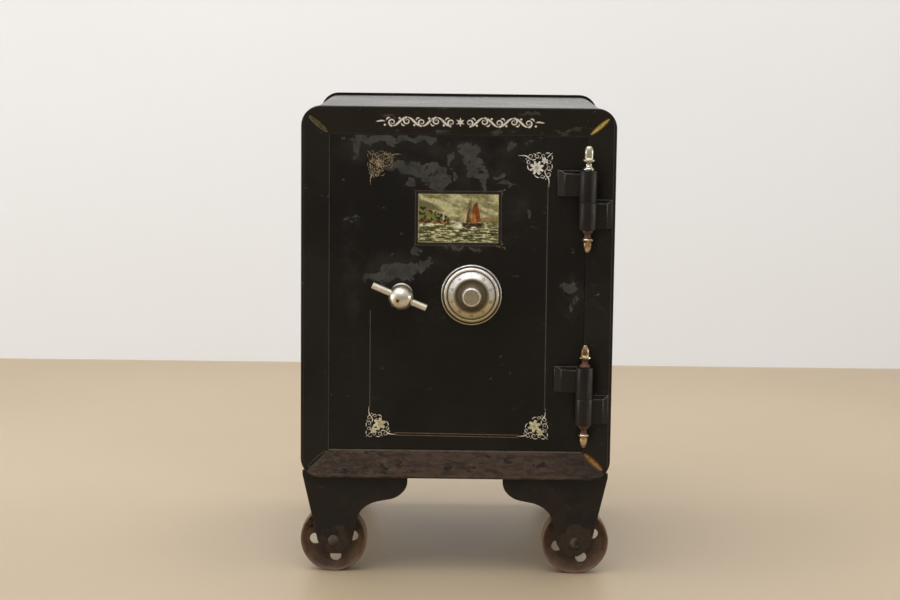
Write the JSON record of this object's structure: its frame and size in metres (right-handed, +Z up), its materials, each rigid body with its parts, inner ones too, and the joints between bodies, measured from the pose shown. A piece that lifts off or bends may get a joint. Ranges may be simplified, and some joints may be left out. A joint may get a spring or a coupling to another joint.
{
  "type": "safe",
  "caption": "Free-standing antique fire-proof safe with a stepped hinged door, dial combination lock, T-handle bolt work and four iron wheels on cast legs.",
  "frame": {"origin": "on the floor, under the middle of the safe's overall box (the T-handle's ball is as far in front of it as the rear frame is behind it)", "axes": "+Z up, +X to the right as one faces the door, +Y from the door to the back; the door faces -Y"},
  "size_m": [0.553, 0.624, 0.837],
  "materials": {
    "painted_iron": "old black enamel, chipped and rubbed, semi-gloss",
    "rusty_cast_iron": "brown rusted cast iron, rubbed on the treads",
    "grey_painted_iron": "dull grey paint inside the doorway",
    "insulation": "rough fire-proof filling",
    "wood": "aged varnish",
    "nickel": "worn nickel plate",
    "dial_face": "silvered bevel with a dark bronze dish",
    "brass": "tarnished brass",
    "steel": "oiled steel",
    "lock_iron": "japanned lock case"
  },
  "bodies": {
    "root": {"front_frame": "painted_iron", "rear_frame": "painted_iron", "outer_shell": "painted_iron", "rear_panel": "painted_iron", "rear_panel_rivets": "painted_iron", "door_jamb": "grey_painted_iron", "insulation_fill": "insulation", "inner_liner": "grey_painted_iron", "cabinet_carcass": "wood", "cabinet_shelf": "wood", "cabinet_divider": "wood", "upper_hinge_frame_leaf": "painted_iron", "lower_hinge_frame_leaf": "painted_iron", "upper_hinge_pin": "steel", "lower_hinge_pin": "steel", "upper_hinge_top_finial": "nickel", "hinge_finials": "brass", "front_left_leg": "painted_iron", "front_right_leg": "painted_iron", "rear_left_leg": "painted_iron", "rear_right_leg": "painted_iron", "leg_bolts": "painted_iron", "wheel_axle_bolts": "rusty_cast_iron", "wheel_axle_nuts": "rusty_cast_iron"},
    "door": {"door_face_plate": "painted_iron", "door_plug_casing": "grey_painted_iron", "door_insulation": "insulation", "door_back_plate": "grey_painted_iron", "back_plate_screws": "steel", "upper_hinge_door_leaf": "painted_iron", "lower_hinge_door_leaf": "painted_iron", "dial_ring": "nickel", "dial_spindle_tube": "steel", "handle_flange": "nickel", "handle_spindle_tube": "steel", "bolt_bar_guides": "steel", "lock_case": "lock_iron", "lock_cover": "lock_iron", "lock_cover_screws": "steel", "lock_wheel_post": "steel"},
    "dial": {"dial": "dial_face", "dial_knob": "nickel", "dial_spindle": "steel", "drive_cam": "brass"},
    "lock_wheel_1": {"lock_wheel_1": "brass"},
    "lock_wheel_2": {"lock_wheel_2": "brass"},
    "lock_wheel_3": {"lock_wheel_3": "brass"},
    "lock_bolt": {"lock_bolt": "brass", "lock_lever": "steel"},
    "handle": {"handle_ball": "nickel", "handle_bar": "nickel", "handle_spindle": "steel", "bolt_pinion": "steel"},
    "bolts": {"bolt_carrier": "steel", "locking_bolts": "steel"},
    "front_left_wheel": {"front_left_wheel": "rusty_cast_iron"},
    "front_right_wheel": {"front_right_wheel": "rusty_cast_iron"},
    "rear_left_wheel": {"rear_left_wheel": "rusty_cast_iron"},
    "rear_right_wheel": {"rear_right_wheel": "rusty_cast_iron"}
  },
  "joints": [
    {"name": "door_swing", "type": "hinge", "parent": "root", "child": "door", "pos_m": [0.226, -0.269, 0.507], "axis": [0, 0, 1], "range_deg": [0, 170]},
    {"name": "dial_turn", "type": "hinge", "parent": "door", "child": "dial", "pos_m": [0.025, -0.257, 0.507], "axis": [0, 1, 0], "continuous": true},
    {"name": "lock_wheel_1_turn", "type": "hinge", "parent": "door", "child": "lock_wheel_1", "pos_m": [0.025, -0.257, 0.507], "axis": [0, 1, 0], "continuous": true},
    {"name": "lock_wheel_2_turn", "type": "hinge", "parent": "door", "child": "lock_wheel_2", "pos_m": [0.025, -0.257, 0.507], "axis": [0, 1, 0], "continuous": true},
    {"name": "lock_wheel_3_turn", "type": "hinge", "parent": "door", "child": "lock_wheel_3", "pos_m": [0.025, -0.257, 0.507], "axis": [0, 1, 0], "continuous": true},
    {"name": "lock_bolt_slide", "type": "slide", "parent": "door", "child": "lock_bolt", "axis": [0, 0, 1], "range_m": [0, 0.009]},
    {"name": "handle_turn", "type": "hinge", "parent": "door", "child": "handle", "pos_m": [-0.098, -0.257, 0.507], "axis": [0, -1, 0], "range_deg": [0, 90]},
    {"name": "bolt_throw", "type": "slide", "parent": "door", "child": "bolts", "axis": [-1, 0, 0], "range_m": [0, 0.022]},
    {"name": "front_left_wheel_spin", "type": "hinge", "parent": "root", "child": "front_left_wheel", "pos_m": [-0.217, -0.218, 0.0595], "axis": [0, 1, 0], "continuous": true},
    {"name": "front_right_wheel_spin", "type": "hinge", "parent": "root", "child": "front_right_wheel", "pos_m": [0.217, -0.218, 0.0595], "axis": [0, 1, 0], "continuous": true},
    {"name": "rear_left_wheel_spin", "type": "hinge", "parent": "root", "child": "rear_left_wheel", "pos_m": [-0.217, 0.271, 0.0595], "axis": [0, 1, 0], "continuous": true},
    {"name": "rear_right_wheel_spin", "type": "hinge", "parent": "root", "child": "rear_right_wheel", "pos_m": [0.217, 0.271, 0.0595], "axis": [0, 1, 0], "continuous": true}
  ],
  "couplings": [
    {"joint": "bolt_throw", "follows": "handle_turn", "m_per_rad": 0.014}
  ]
}
